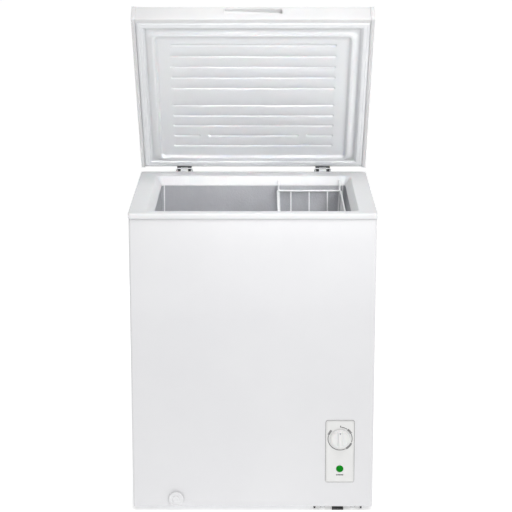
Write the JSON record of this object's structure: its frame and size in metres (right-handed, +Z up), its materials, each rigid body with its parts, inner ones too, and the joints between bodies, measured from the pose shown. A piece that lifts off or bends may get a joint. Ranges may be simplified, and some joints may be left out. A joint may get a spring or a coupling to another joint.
{
  "type": "chest freezer",
  "caption": "White chest freezer with an insulated lid standing open on two hinges, aluminium tank, sliding wire basket, front control panel and front drain.",
  "frame": {"origin": "on the floor under the middle of the whole outline with the lid standing open at rest; the cabinet's own middle is 22 mm nearer the front", "axes": "+Z up, +Y from the front to the back, +X to the right as seen from the front"},
  "size_m": [0.632, 0.6156, 1.2928],
  "materials": {
    "painted_white": "smooth white powder coat, satin gloss",
    "rim_plastic": "white moulded plastic, satin",
    "lid_plastic": "white vacuum-formed polystyrene, satin",
    "trim_plastic": "white extruded plastic trim",
    "seal_rubber": "soft pale grey magnetic gasket",
    "tank_aluminium": "stucco-embossed aluminium",
    "foam": "closed-cell polyurethane foam",
    "zinc_steel": "zinc-plated steel",
    "dark_steel": "dark phosphated steel",
    "black_steel": "black enamelled steel",
    "black_rubber": "black moulded rubber",
    "galvanised": "galvanised sheet steel",
    "back_steel": "pale grey coated steel",
    "copper": "drawn copper tube",
    "panel_plastic": "off-white moulded plastic",
    "knob_plastic": "white moulded plastic, satin",
    "green_lens": "green translucent plastic",
    "black_plastic": "black moulded plastic",
    "basket_coat": "white polyethylene-coated steel wire",
    "drain_plastic": "white moulded plastic"
  },
  "bodies": {
    "cabinet": {"cabinet_wrap": "painted_white", "back_panel": "back_steel", "base_plate": "galvanised", "compartment_shell": "galvanised", "compressor_tray": "galvanised", "front_rail": "black_steel", "rail_bolts": "zinc_steel", "foot_front_left": "black_rubber", "foot_front_right": "black_rubber", "foot_rear_left": "black_rubber", "foot_rear_right": "black_rubber", "cabinet_foam": "foam", "inner_liner": "tank_aluminium", "corner_strips": "rim_plastic", "rim_frame": "rim_plastic", "evaporator_coil": "tank_aluminium", "condenser_coil": "copper", "compressor": "black_steel", "compressor_grommets": "black_rubber", "relay_box": "black_plastic", "filter_drier": "copper", "suction_pipe": "copper", "discharge_pipe": "copper", "rear_grille": "back_steel", "grille_screws": "zinc_steel", "power_inlet": "black_plastic", "control_bezel": "panel_plastic", "thermostat": "panel_plastic", "lamp_holder": "black_plastic", "indicator_lens": "green_lens", "drain_guide": "drain_plastic", "hinge_bracket_left": "zinc_steel", "hinge_bracket_right": "zinc_steel", "hinge_pin_left": "zinc_steel", "hinge_pin_right": "zinc_steel", "hinge_spring_left": "dark_steel", "hinge_spring_right": "dark_steel", "bracket_screws": "zinc_steel"},
    "lid": {"lid_shell": "painted_white", "lid_foam": "foam", "lid_liner": "lid_plastic", "lid_gasket": "seal_rubber", "lid_front_trim": "trim_plastic", "lid_handle_cup": "trim_plastic", "lid_side_trim_left": "trim_plastic", "lid_side_trim_right": "trim_plastic", "hinge_leaf_left": "dark_steel", "hinge_leaf_right": "dark_steel", "leaf_screws": "zinc_steel"},
    "knob": {"control_knob": "knob_plastic", "thermostat_shaft": "zinc_steel"},
    "basket": {"wire_basket": "basket_coat"},
    "drain_spout": {"drain_spout": "drain_plastic"},
    "drain_dial": {"drain_dial": "drain_plastic"},
    "drain_plug": {"drain_plug": "drain_plastic"}
  },
  "joints": [
    {"name": "lid_hinge", "type": "hinge", "parent": "cabinet", "child": "lid", "pos_m": [0, 0.263, 0.799], "axis": [-1, 0, 0], "range_deg": [-54, 26]},
    {"name": "basket_slide", "type": "slide", "parent": "cabinet", "child": "basket", "axis": [1, 0, 0], "range_m": [-0.312, 0]},
    {"name": "knob_turn", "type": "hinge", "parent": "cabinet", "child": "knob", "pos_m": [0.227, -0.297, 0.201], "axis": [0, 1, 0], "range_deg": [0, 300]},
    {"name": "drain_pull", "type": "slide", "parent": "cabinet", "child": "drain_spout", "axis": [0, -1, 0], "range_m": [0, 0.025]},
    {"name": "drain_turn", "type": "hinge", "parent": "drain_spout", "child": "drain_dial", "pos_m": [-0.201, -0.297, 0.034], "axis": [0, 1, 0], "range_deg": [0, 180]},
    {"name": "plug_lift", "type": "slide", "parent": "cabinet", "child": "drain_plug", "axis": [0, 0, 1], "range_m": [0, 0.03]}
  ]
}
